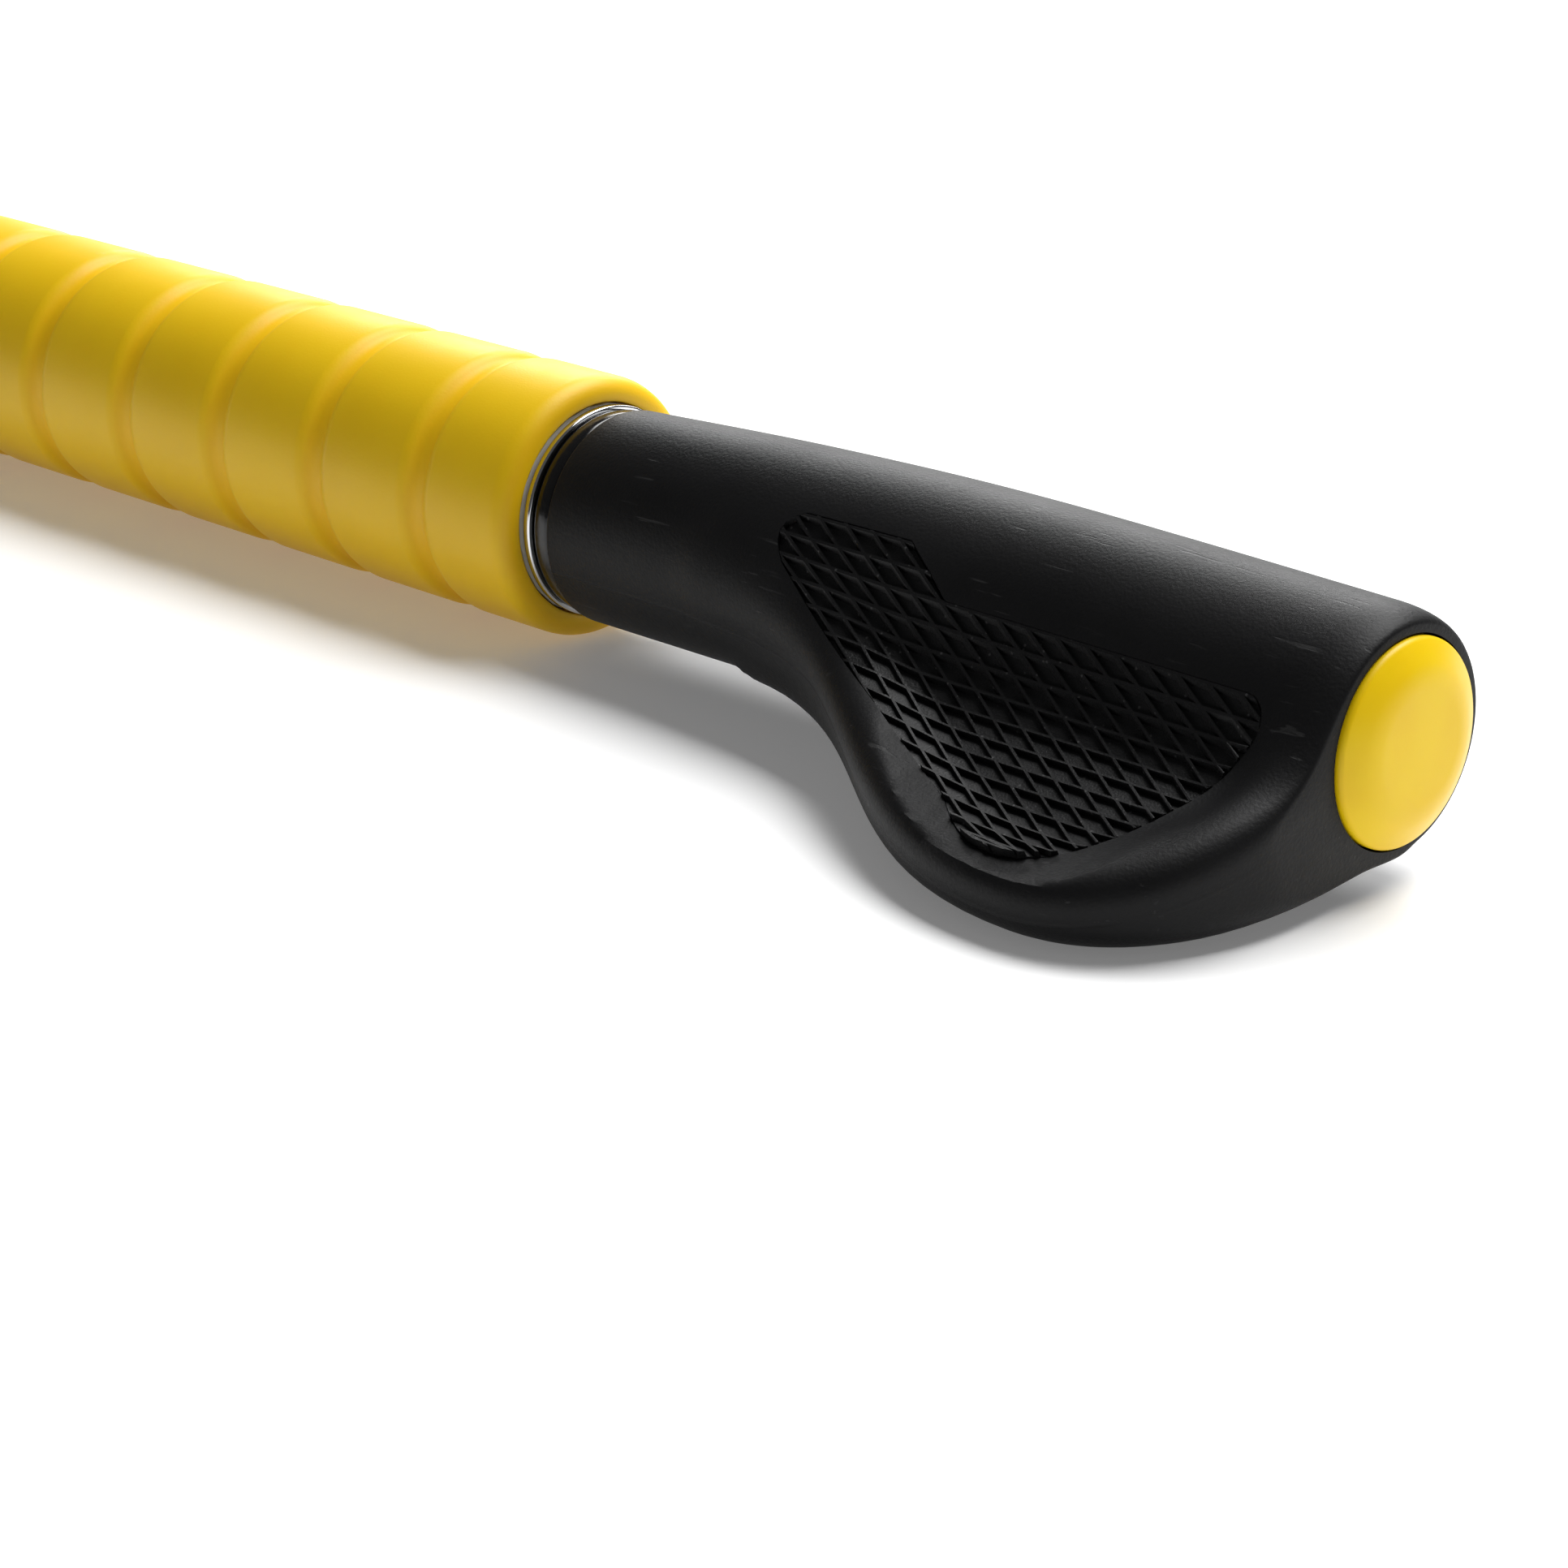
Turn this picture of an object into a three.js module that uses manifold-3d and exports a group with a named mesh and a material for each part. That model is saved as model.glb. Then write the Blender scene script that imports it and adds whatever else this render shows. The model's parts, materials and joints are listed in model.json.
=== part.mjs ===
// Massage roller bar: a ribbed soft roller turning on a chromed steel tube, with a palm-wing grip
// at each end. Millimetres, +Z up, bar along X. It lies as it would on a table, on the roller and
// on the tips of the two wings. The origin is at the middle of its footprint, on the table.
import * as THREE from "three";
import { mergeVertices } from "three/addons/utils/BufferGeometryUtils.js";
import Module from "manifold-3d";

// Clearances
const GAP = 0.3; // between pieces that touch or run on each other
const DRIVE_GAP = 0.2; // round the pin that keys a grip to the tube

// Facets
const FACETS = 24; // round a turned part, always a multiple of four
const GRIP_FACETS = 32;
const CORNER_STEPS = 3;

// Core tube
const TUBE_RADIUS = 11.1;
const TUBE_WALL = 1.5;

// Roller
const ROLLER_RADIUS = 18.2;
const ROLLER_WALL = 3.4;
const RIB_COUNT = 14;
const RIB_PITCH = 22;
const END_RIB_LENGTH = 18.5; // from the middle of the last groove to the end face
const GROOVE_WIDTH = 5.2;
const GROOVE_FLOOR = 2.4;
const GROOVE_DEPTH = 1.4;
const ROLLER_SHOULDER = 3.2;
const CARRIER_WALL = 1.8;
const BUSH_LENGTH = 14;
const BUSH_FLANGE = 1.5;
const BUSH_RECESS = 0.4; // of the bush's flange inside the roller's end face

// Thrust washer, retaining clip and stop collar
const WASHER_RADIUS = 14.6;
const WASHER_THICKNESS = 1.2;
const CLIP_THICKNESS = 1.2;
const CLIP_WIDTH = 1.9;
const CLIP_SEAT_DEPTH = 0.5;
const CLIP_MOUTH = Math.PI / 3;
const COLLAR_RADIUS = 14.2;
const COLLAR_WIDTH = 2.8;
const COLLAR_WEB = 1;
const COLLAR_CORNER = 0.5;

// Grip: lengths run outwards from the roller side of the stop collar
const GRIP_LENGTH = 133.2;
const CORE_WALL = 1.3;
const GRIP_SHOULDER = 6; // length of the rounding at its end
const GRIP_END_WALL = 0.4; // of rubber left round the end plug
const BARREL_START_RADIUS = 14.85;
const BARREL_WIDEST_RADIUS = 15.95;
const BARREL_END_RADIUS = 15.3;
const BARREL_WIDEST_AT = 76;
const BARREL_NEAR = 14.95; // from the axis to the barrel's side under the wing
const BARREL_SWELL_ANGLE = (44 * Math.PI) / 180; // the barrel swells away from the wing and up

// Palm wing, in a plane through the bar's axis
const WING_REACH = 47; // from the axis to the wing's tip
const WING_TIP_INSET = 22.5; // from the grip's end back to the tip
const WING_FLARE = 77; // from the tip back to where the wing leaves the barrel
const WING_ROOT_HALF = 7.2; // half the thickness at the axis
const WING_TIP_HALF = 4.8; // half the thickness at the tip
const WING_EDGE_CORNER = 4;
const WING_UNDER_ANGLE = (13.7 * Math.PI) / 180; // of the flat underside to the wing's plane
const WING_BLEND = 9; // size of the fillet between barrel and wing on the palm side
const WING_UNDER_BLEND = 2;
const WING_DISH = 2.2; // how far the palm face dips inside its rim
const DISH_RIM = 4;
const DISH_RUN = 9;
const LIP_WIDTH = 2.5; // of the raised lip between the dish and the grip's end
const LIP_RUN = 6.5;

// Textured pad let into the palm face
const PAD_LENGTH = 79.2;
const PAD_NARROW_LENGTH = 20.8; // of its narrow end, up to the step
const PAD_STEP_RUN = 9;
const PAD_NARROW_EDGE = 6.5;
const PAD_LONG_EDGE = 11.5;
const PAD_TIP_MARGIN = 5.4;
const PAD_END_MARGIN = 9;
const PAD_CORNER = 3;
const PAD_RECESS = 0.35; // of the pad's face below the rubber round it
const PAD_THICKNESS = 1.2;
const PAD_LIFT = 0.45; // of the pad off the pocket's floor

// End plug
const PLUG_CAP_RADIUS = 12.7;
const PLUG_SEAT = 1.8; // how deep the cap sits in the grip's end
const PLUG_RIM = 0.6; // how far the cap's side stands out of the grip
const PLUG_DOME = 2;
const PLUG_FACE_RADIUS = 8;
const PLUG_STEM_LENGTH = 24;
const PLUG_BARB_HEIGHT = 0.9;
const PLUG_BARB_PITCH = 5;
const PLUG_BARB_COUNT = 3;

// Pin that keys the grip's core to the tube
const PIN_RADIUS = 2;
const PIN_AT = 22;
const PIN_INSIDE = 1; // how far it reaches inside the tube

// Sizes that follow from these
const ROLLER_HALF = END_RIB_LENGTH + ((RIB_COUNT - 2) * RIB_PITCH) / 2;
const ROLLER_BORE = ROLLER_RADIUS - ROLLER_WALL;
const CARRIER_RADIUS = ROLLER_BORE - GAP;
const CARRIER_BORE = CARRIER_RADIUS - CARRIER_WALL;
const TUBE_BORE = TUBE_RADIUS - TUBE_WALL;
const RUNNING_RADIUS = TUBE_RADIUS + GAP;
const BUSH_END = ROLLER_HALF - BUSH_RECESS;
const WASHER_AT = ROLLER_HALF + GAP;
const GRIP_AT = WASHER_AT + WASHER_THICKNESS + GAP;
const RUBBER_START = COLLAR_WIDTH + GAP;
const CORE_RADIUS = RUNNING_RADIUS + CORE_WALL;
const RUBBER_BORE = CORE_RADIUS + GAP;
const CORE_END = GRIP_LENGTH - PLUG_SEAT - GAP;
const WING_TIP_AT = GRIP_LENGTH - WING_TIP_INSET;
const PLUG_BARB_RADIUS = TUBE_BORE - GAP;
const PLUG_STEM_RADIUS = PLUG_BARB_RADIUS - PLUG_BARB_HEIGHT;
const PLUG_SEAT_RADIUS = PLUG_CAP_RADIUS + GAP;
const SHOULDER_AT = GRIP_LENGTH - GRIP_SHOULDER;
const SHOULDER_DROP = Math.max(BARREL_NEAR - PLUG_SEAT_RADIUS - GRIP_END_WALL, 0.5);
const CLIP_SEAT_RADIUS = TUBE_RADIUS - CLIP_SEAT_DEPTH;
const CLIP_SEAT_WIDTH = CLIP_THICKNESS + 2 * DRIVE_GAP;
const COLLAR_POCKET = CLIP_SEAT_RADIUS + GAP + CLIP_WIDTH + GAP;

const wasm = await Module();
wasm.setup();

const material = (color, roughness, metalness = 0) =>
  new THREE.MeshStandardMaterial({ color, roughness, metalness });

function named(name, geometry, finish) {
  const mesh = new THREE.Mesh(geometry, finish);
  mesh.name = name;
  return mesh;
}

// Boolean cuts and joins
function toSolid(geometry) {
  const bare = geometry.clone();
  bare.deleteAttribute("normal");
  bare.deleteAttribute("uv");
  const merged = mergeVertices(bare, 1e-4);
  return new wasm.Manifold(
    new wasm.Mesh({
      numProp: 3,
      vertProperties: merged.attributes.position.array,
      triVerts: new Uint32Array(merged.index.array),
    }),
  );
}

function toGeometry(solid) {
  const mesh = solid.getMesh();
  const geometry = new THREE.BufferGeometry();
  geometry.setAttribute("position", new THREE.BufferAttribute(mesh.vertProperties, 3));
  geometry.setIndex(new THREE.BufferAttribute(mesh.triVerts, 1));
  geometry.computeVertexNormals();
  return geometry;
}

// A body turned about the X axis from a closed outline of [x, radius] points that runs round
// anticlockwise. Its flats touch the true circles of the outside, and one flat faces straight down.
function turned(outline) {
  const flatToCorner = 1 / Math.cos(Math.PI / FACETS);
  const closed = [outline[0], ...outline.toReversed()];
  const points = closed.map(([x, r]) => new THREE.Vector2(r * flatToCorner, x));
  const geometry = new THREE.LatheGeometry(points, FACETS);
  geometry.rotateY(Math.PI / FACETS);
  geometry.rotateZ(-Math.PI / 2);
  return geometry;
}

const ring = (from, to, inner, outer) =>
  turned([
    [from, inner],
    [to, inner],
    [to, outer],
    [from, outer],
  ]);

// Points of a quarter round from one end of it to the other.
function quarterRound(cx, cr, radius, fromAngle, toAngle) {
  return Array.from({ length: CORNER_STEPS + 1 }, (_, i) => {
    const a = fromAngle + ((toAngle - fromAngle) * i) / CORNER_STEPS;
    return [cx + radius * Math.cos(a), cr + radius * Math.sin(a)];
  });
}

// Roller
function rollerSleeve() {
  const shoulder = Math.min(ROLLER_SHOULDER, ROLLER_WALL - GROOVE_DEPTH / 2);
  const centre = ROLLER_RADIUS - shoulder;
  const outline = [
    [-ROLLER_HALF, ROLLER_BORE],
    [ROLLER_HALF, ROLLER_BORE],
    ...quarterRound(ROLLER_HALF - shoulder, centre, shoulder, 0, Math.PI / 2),
  ];
  for (let i = RIB_COUNT - 2; i >= 0; i--) {
    const x = (i - (RIB_COUNT - 2) / 2) * RIB_PITCH;
    outline.push(
      [x + GROOVE_WIDTH / 2, ROLLER_RADIUS],
      [x + GROOVE_FLOOR / 2, ROLLER_RADIUS - GROOVE_DEPTH],
      [x - GROOVE_FLOOR / 2, ROLLER_RADIUS - GROOVE_DEPTH],
      [x - GROOVE_WIDTH / 2, ROLLER_RADIUS],
    );
  }
  outline.push(...quarterRound(shoulder - ROLLER_HALF, centre, shoulder, Math.PI / 2, Math.PI));
  return turned(outline);
}

function rollerCarrier() {
  const half = BUSH_END - BUSH_FLANGE - GAP;
  return ring(-half, half, CARRIER_BORE, CARRIER_RADIUS);
}

function rollerBush() {
  const flangeBack = BUSH_END - BUSH_FLANGE;
  return turned([
    [BUSH_END - BUSH_LENGTH, RUNNING_RADIUS],
    [BUSH_END, RUNNING_RADIUS],
    [BUSH_END, CARRIER_RADIUS],
    [flangeBack, CARRIER_RADIUS],
    [flangeBack, CARRIER_BORE - GAP],
    [BUSH_END - BUSH_LENGTH, CARRIER_BORE - GAP],
  ]);
}

// Core tube, with a seat for each retaining clip and a hole for each grip pin
function pinBar(radius, from, to) {
  const bar = new THREE.CylinderGeometry(radius, radius, to - from, FACETS / 2);
  bar.rotateX(Math.PI / 2);
  bar.translate(PIN_AT, 0, (from + to) / 2);
  return bar;
}

function coreTube() {
  const half = GRIP_AT + CORE_END;
  const seatFrom = GRIP_AT;
  const seatTo = GRIP_AT + CLIP_SEAT_WIDTH;
  const outline = [
    [-half, TUBE_BORE],
    [half, TUBE_BORE],
    [half, TUBE_RADIUS],
    [seatTo, TUBE_RADIUS],
    [seatTo, CLIP_SEAT_RADIUS],
    [seatFrom, CLIP_SEAT_RADIUS],
    [seatFrom, TUBE_RADIUS],
    [-seatFrom, TUBE_RADIUS],
    [-seatFrom, CLIP_SEAT_RADIUS],
    [-seatTo, CLIP_SEAT_RADIUS],
    [-seatTo, TUBE_RADIUS],
    [-half, TUBE_RADIUS],
  ];
  const hole = pinBar(PIN_RADIUS + DRIVE_GAP, TUBE_BORE / 2, TUBE_RADIUS + PIN_RADIUS);
  const rightHole = hole.clone().translate(GRIP_AT, 0, 0).rotateX(wingTilt);
  const leftHole = hole.clone().translate(-GRIP_AT - 2 * PIN_AT, 0, 0).rotateX(wingTilt);
  return toGeometry(toSolid(turned(outline)).subtract(toSolid(rightHole)).subtract(toSolid(leftHole)));
}

// Retaining clip, an open ring in the tube's seat
function retainingClip() {
  const inner = CLIP_SEAT_RADIUS + GAP;
  const outer = inner + CLIP_WIDTH;
  const from = CLIP_MOUTH / 2;
  const to = 2 * Math.PI - CLIP_MOUTH / 2;
  const shape = new THREE.Shape();
  shape.absarc(0, 0, outer, from, to, false);
  shape.absarc(0, 0, inner, to, from, true);
  const clip = new THREE.ExtrudeGeometry(shape, {
    depth: CLIP_THICKNESS,
    bevelEnabled: false,
    curveSegments: FACETS,
  });
  clip.rotateY(Math.PI / 2);
  clip.translate((CLIP_SEAT_WIDTH - CLIP_THICKNESS) / 2, 0, 0);
  return clip;
}

function stopCollar() {
  const c = COLLAR_CORNER;
  return turned([
    [COLLAR_WIDTH - COLLAR_WEB, RUNNING_RADIUS],
    [COLLAR_WIDTH, RUNNING_RADIUS],
    [COLLAR_WIDTH, COLLAR_RADIUS - c],
    [COLLAR_WIDTH - c, COLLAR_RADIUS],
    [c, COLLAR_RADIUS],
    [0, COLLAR_RADIUS - c],
    [0, COLLAR_POCKET],
    [COLLAR_WIDTH - COLLAR_WEB, COLLAR_POCKET],
  ]);
}

// Shape of the grip. A point of it is (along, out, up): along the bar from the stop collar,
// out from the axis towards the wing, and up from the wing's middle plane.
const smoothStep = (t) => {
  const s = THREE.MathUtils.clamp(t, 0, 1);
  return s * s * (3 - 2 * s);
};

// The larger of two distances, with the corner between them rounded to a radius.
const roundedMax = (a, b, radius) =>
  Math.min(Math.max(a + radius, b + radius), 0) +
  Math.hypot(Math.max(a + radius, 0), Math.max(b + radius, 0)) -
  radius;

// The smaller of two distances, with the crease between them filled.
const filletedMin = (a, b, size) => {
  const h = Math.max(size - Math.abs(a - b), 0) / size;
  return Math.min(a, b) - (h * h * size) / 4;
};

const barrelCurve = new THREE.SplineCurve([
  new THREE.Vector2(RUBBER_START, BARREL_START_RADIUS),
  new THREE.Vector2(BARREL_WIDEST_AT / 2, (BARREL_START_RADIUS + 3 * BARREL_WIDEST_RADIUS) / 4),
  new THREE.Vector2(BARREL_WIDEST_AT, BARREL_WIDEST_RADIUS),
  new THREE.Vector2(GRIP_LENGTH, BARREL_END_RADIUS),
]);
const barrelPoints = barrelCurve.getPoints(24);

function barrelRadius(along) {
  const after = barrelPoints.findIndex((p) => p.x >= along);
  if (after <= 0) return after === 0 ? BARREL_START_RADIUS : BARREL_END_RADIUS;
  const a = barrelPoints[after - 1];
  const b = barrelPoints[after];
  return THREE.MathUtils.mapLinear(along, a.x, b.x, a.y, b.y);
}

// The wing seen from above: it leaves the barrel, flares to its tip and rounds into the grip's end.
function wingOutline() {
  const rootAt = WING_TIP_AT - WING_FLARE;
  const shape = new THREE.Shape();
  shape.moveTo(rootAt, 0.25 * WING_REACH);
  shape.bezierCurveTo(
    rootAt + 0.44 * WING_FLARE,
    0.37 * WING_REACH,
    rootAt + 0.6 * WING_FLARE,
    WING_REACH,
    WING_TIP_AT,
    WING_REACH,
  );
  shape.bezierCurveTo(
    WING_TIP_AT + 0.68 * WING_TIP_INSET,
    WING_REACH,
    GRIP_LENGTH + 1.3,
    0.72 * WING_REACH,
    GRIP_LENGTH + 5,
    0.18 * WING_REACH,
  );
  shape.lineTo(GRIP_LENGTH + 5, 0);
  shape.lineTo(rootAt, 0);
  shape.closePath();
  return shape.getPoints(20);
}
const wingPoints = wingOutline();

// Distance in the wing's plane to its outline, negative inside.
function outsideWing(along, out) {
  let nearest = Infinity;
  let inside = false;
  wingPoints.forEach((a, i) => {
    const b = wingPoints[(i + 1) % wingPoints.length];
    const ex = b.x - a.x;
    const ey = b.y - a.y;
    const px = along - a.x;
    const py = out - a.y;
    const length = ex * ex + ey * ey;
    const t = length > 0 ? THREE.MathUtils.clamp((px * ex + py * ey) / length, 0, 1) : 0;
    nearest = Math.min(nearest, Math.hypot(px - t * ex, py - t * ey));
    const crosses = a.y > out !== b.y > out;
    if (crosses && along < a.x + (ex * (out - a.y)) / ey) inside = !inside;
  });
  return inside ? -nearest : nearest;
}

function gripDistance(along, out, up) {
  const radius = barrelRadius(along);
  const swell = radius - BARREL_NEAR;
  const barrelOut = out + swell * Math.cos(BARREL_SWELL_ANGLE);
  const barrelUp = up - swell * Math.sin(BARREL_SWELL_ANGLE);
  const barrel = Math.hypot(barrelOut, barrelUp) - radius;
  const edge = outsideWing(along, out);
  const inDish = smoothStep((-edge - DISH_RIM) / DISH_RUN);
  const pastLip = smoothStep((GRIP_LENGTH - along - LIP_WIDTH) / LIP_RUN);
  const dish = WING_DISH * inDish * pastLip;
  const taper = THREE.MathUtils.clamp(out / WING_REACH, 0, 1);
  const palm = up - THREE.MathUtils.lerp(WING_ROOT_HALF, WING_TIP_HALF, taper) + dish;
  const under = out * Math.sin(WING_UNDER_ANGLE) - up * Math.cos(WING_UNDER_ANGLE) - BARREL_NEAR;
  const corner = Math.min(WING_EDGE_CORNER, WING_TIP_HALF - 0.5);
  const palmSide = smoothStep(up / WING_BLEND + 0.6);
  const blend = THREE.MathUtils.lerp(WING_UNDER_BLEND, WING_BLEND, palmSide);
  return filletedMin(barrel, roundedMax(edge, Math.max(palm, under), corner), blend);
}

// Radius of the grip in one direction, with its skin lowered by some depth.
function gripRadius(along, angle, depth) {
  const round = Math.max(along - SHOULDER_AT, 0) / GRIP_SHOULDER;
  const drop = SHOULDER_DROP * (1 - Math.sqrt(Math.max(1 - round ** 2, 0)));
  const level = -depth - drop;
  const at = (r) => gripDistance(along, r * Math.cos(angle), r * Math.sin(angle)) - level;
  let low = 0;
  let high = 1;
  while (at(high) < 0) {
    low = high;
    high += 1;
  }
  for (let i = 0; i < 24; i++) {
    const middle = (low + high) / 2;
    if (at(middle) < 0) low = middle;
    else high = middle;
  }
  return low;
}

// Places along the grip where its section is taken, closer together round its end.
function gripStations() {
  const plain = 17;
  const stations = [];
  for (let i = 0; i < plain; i++)
    stations.push(RUBBER_START + (SHOULDER_AT - RUBBER_START) * (1 - (1 - i / plain) ** 1.25));
  for (let i = 0; i <= CORNER_STEPS; i++) {
    const a = (i * Math.PI) / 2 / CORNER_STEPS;
    stations.push(SHOULDER_AT + GRIP_SHOULDER * Math.sin(a));
  }
  return stations;
}

// The grip as one solid, its sections closest together in angle towards the wing's tip.
function gripBlank(depth) {
  const stations = gripStations();
  const blank = new THREE.CylinderGeometry(1, 1, 1, GRIP_FACETS, stations.length - 1);
  const position = blank.attributes.position;
  for (let i = 0; i < position.count; i++) {
    const along = stations[Math.round((0.5 - position.getY(i)) * (stations.length - 1))];
    const turn = Math.atan2(position.getX(i), position.getZ(i)) / Math.PI;
    const angle = Math.PI * Math.sign(turn) * Math.abs(turn) ** 1.6;
    const onAxis = Math.hypot(position.getX(i), position.getZ(i)) < 0.5;
    const r = onAxis ? 0 : gripRadius(along, angle, depth);
    position.setXYZ(i, along, -r * Math.cos(angle), r * Math.sin(angle));
  }
  return blank;
}

// Angle by which the wings drop from level, so that their tips rest on the table with the roller.
function restingTilt() {
  const position = gripBlank(0).attributes.position;
  const lowest = (tilt) => {
    let z = 0;
    for (let i = 0; i < position.count; i++)
      z = Math.min(z, position.getY(i) * Math.sin(tilt) + position.getZ(i) * Math.cos(tilt));
    return z;
  };
  let low = 0;
  let high = Math.PI / 3;
  for (let i = 0; i < 40; i++) {
    const middle = (low + high) / 2;
    if (lowest(middle) > -ROLLER_RADIUS) low = middle;
    else high = middle;
  }
  return low;
}
const wingTilt = restingTilt();

// Outline of the pad, grown on every side by a margin.
function padOutline(margin) {
  const end = GRIP_LENGTH - PAD_END_MARGIN;
  const start = end - PAD_LENGTH;
  const tip = WING_REACH - PAD_TIP_MARGIN;
  const shape = new THREE.Shape();
  shape.moveTo(start + PAD_CORNER, PAD_NARROW_EDGE);
  shape.lineTo(start + PAD_NARROW_LENGTH, PAD_NARROW_EDGE);
  shape.lineTo(start + PAD_NARROW_LENGTH + PAD_STEP_RUN, PAD_LONG_EDGE);
  shape.lineTo(end - PAD_CORNER, PAD_LONG_EDGE);
  shape.quadraticCurveTo(end, PAD_LONG_EDGE, end, PAD_LONG_EDGE + PAD_CORNER);
  shape.bezierCurveTo(
    end - 0.035 * PAD_LENGTH,
    0.5 * tip,
    end - 0.09 * PAD_LENGTH,
    tip,
    end - 0.22 * PAD_LENGTH,
    tip,
  );
  shape.bezierCurveTo(
    end - 0.28 * PAD_LENGTH,
    tip,
    end - 0.32 * PAD_LENGTH,
    0.95 * tip,
    end - 0.375 * PAD_LENGTH,
    0.86 * tip,
  );
  shape.lineTo(start + PAD_CORNER, PAD_NARROW_EDGE + 1.85 * PAD_CORNER);
  shape.quadraticCurveTo(
    start - 0.7 * PAD_CORNER,
    PAD_NARROW_EDGE + 0.7 * PAD_CORNER,
    start + PAD_CORNER,
    PAD_NARROW_EDGE,
  );
  const points = shape.getPoints(5).slice(0, -1);
  return points.map((p, i) => {
    const before = points[(i + points.length - 1) % points.length];
    const after = points[(i + 1) % points.length];
    const along = after.clone().sub(before).normalize();
    return new THREE.Vector2(p.x + along.y * margin, -(p.y - along.x * margin));
  });
}

// A block of the pad's outline that stands from near the wing's middle to well above its palm face.
function padBlock(margin, base) {
  const block = new THREE.ExtrudeGeometry(new THREE.Shape(padOutline(margin)), {
    depth: 2 * BARREL_WIDEST_RADIUS,
    bevelEnabled: false,
  });
  block.translate(0, 0, base);
  return toSolid(block);
}

// The pocket's floor and the pad's underside both follow the skin, the pad's lifted off the floor.
const padFloor = (lift) => toSolid(gripBlank(PAD_RECESS + PAD_THICKNESS + PAD_LIFT - lift));

function gripPad() {
  const face = toSolid(gripBlank(PAD_RECESS));
  return toGeometry(padBlock(0, PAD_LIFT).intersect(face).subtract(padFloor(PAD_LIFT)));
}

function gripBody() {
  const pocket = padBlock(GAP, 0).subtract(padFloor(0));
  const bore = toSolid(ring(0, GRIP_LENGTH, 0, RUBBER_BORE));
  const plugSeat = toSolid(ring(CORE_END, GRIP_LENGTH + PLUG_SEAT, 0, PLUG_SEAT_RADIUS));
  return toGeometry(toSolid(gripBlank(0)).subtract(bore).subtract(plugSeat).subtract(pocket));
}

function gripCore() {
  const core = toSolid(ring(RUBBER_START, CORE_END, RUNNING_RADIUS, CORE_RADIUS));
  const hole = pinBar(PIN_RADIUS + DRIVE_GAP, TUBE_BORE, CORE_RADIUS + PIN_RADIUS);
  return toGeometry(core.subtract(toSolid(hole)));
}

function endPlug() {
  const back = GRIP_LENGTH - PLUG_SEAT;
  const rim = GRIP_LENGTH + PLUG_RIM;
  const outline = [
    [back - PLUG_STEM_LENGTH, 0],
    [rim + PLUG_DOME, 0],
    [rim + PLUG_DOME, PLUG_FACE_RADIUS],
    [rim + 0.8 * PLUG_DOME, (PLUG_FACE_RADIUS + PLUG_CAP_RADIUS) / 2],
    [rim, PLUG_CAP_RADIUS],
    [back, PLUG_CAP_RADIUS],
    [back, PLUG_STEM_RADIUS],
  ];
  for (let i = 0; i < PLUG_BARB_COUNT; i++) {
    const at = back - (i + 1) * PLUG_BARB_PITCH;
    outline.push([at, PLUG_STEM_RADIUS], [at, PLUG_BARB_RADIUS]);
    outline.push([at - PLUG_BARB_PITCH / 2, PLUG_STEM_RADIUS]);
  }
  outline.push([back - PLUG_STEM_LENGTH, PLUG_STEM_RADIUS]);
  return turned(outline);
}

// Finishes
const yellowRubber = material("#f2c812", 0.45);
const yellowPlastic = material("#ffd400", 0.4);
const blackRubber = material("#1c1c1d", 0.8);
const padRubber = material("#111112", 0.75);
const blackPlastic = material("#0c0c0d", 0.25);
const innerPlastic = material("#d9d6cc", 0.5);
const hardBlack = material("#26262a", 0.5);
const chrome = material("#d6d8da", 0.12, 1);
const springSteel = material("#8d9094", 0.35, 1);

// Everything on one end of the tube, drawn for the right end.
function endAssembly(side) {
  const end = new THREE.Group();
  const washer = ring(WASHER_AT, WASHER_AT + WASHER_THICKNESS, RUNNING_RADIUS, WASHER_RADIUS);
  end.add(named(`thrust_washer_${side}`, washer, chrome));
  const grip = new THREE.Group();
  grip.position.x = GRIP_AT;
  const pin = pinBar(PIN_RADIUS, TUBE_BORE - PIN_INSIDE, CORE_RADIUS);
  const tilted = new THREE.Group();
  tilted.rotation.x = wingTilt;
  tilted.add(
    named(`grip_core_${side}`, gripCore(), hardBlack),
    named(`grip_body_${side}`, gripBody(), blackRubber),
    named(`grip_pad_${side}`, gripPad(), padRubber),
    named(`grip_pin_${side}`, pin, springSteel),
  );
  grip.add(
    named(`retaining_clip_${side}`, retainingClip(), springSteel),
    named(`stop_collar_${side}`, stopCollar(), blackPlastic),
    named(`end_plug_${side}`, endPlug(), yellowPlastic),
    tilted,
  );
  end.add(grip);
  return end;
}

const roller = new THREE.Group();
const leftBush = rollerBush().rotateZ(Math.PI);
roller.add(
  named("roller_sleeve", rollerSleeve(), yellowRubber),
  named("roller_carrier", rollerCarrier(), innerPlastic),
  named("roller_bush_right", rollerBush(), innerPlastic),
  named("roller_bush_left", leftBush, innerPlastic),
);

const rightEnd = endAssembly("right");
const leftEnd = endAssembly("left");
leftEnd.scale.x = -1;

const bar = new THREE.Group();
bar.add(named("core_tube", coreTube(), chrome), roller, rightEnd, leftEnd);

// Stand the bar on the table, with the origin under the middle of its footprint.
const box = new THREE.Box3().setFromObject(bar, true);
const middle = box.getCenter(new THREE.Vector3());
bar.position.set(-middle.x, -middle.y, -box.min.z);

const part = new THREE.Group();
part.add(bar);

export default part;
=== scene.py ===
# Massage roller bar: a ribbed yellow roller on a steel tube, between two black rubber grips with
# palm wings. Metres, +Z up, bar along X, lying on a table at z = 0.
import json
import math

import bmesh
import bpy
import numpy as np
from mathutils import Matrix, Vector
from mathutils.geometry import interpolate_bezier


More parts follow.
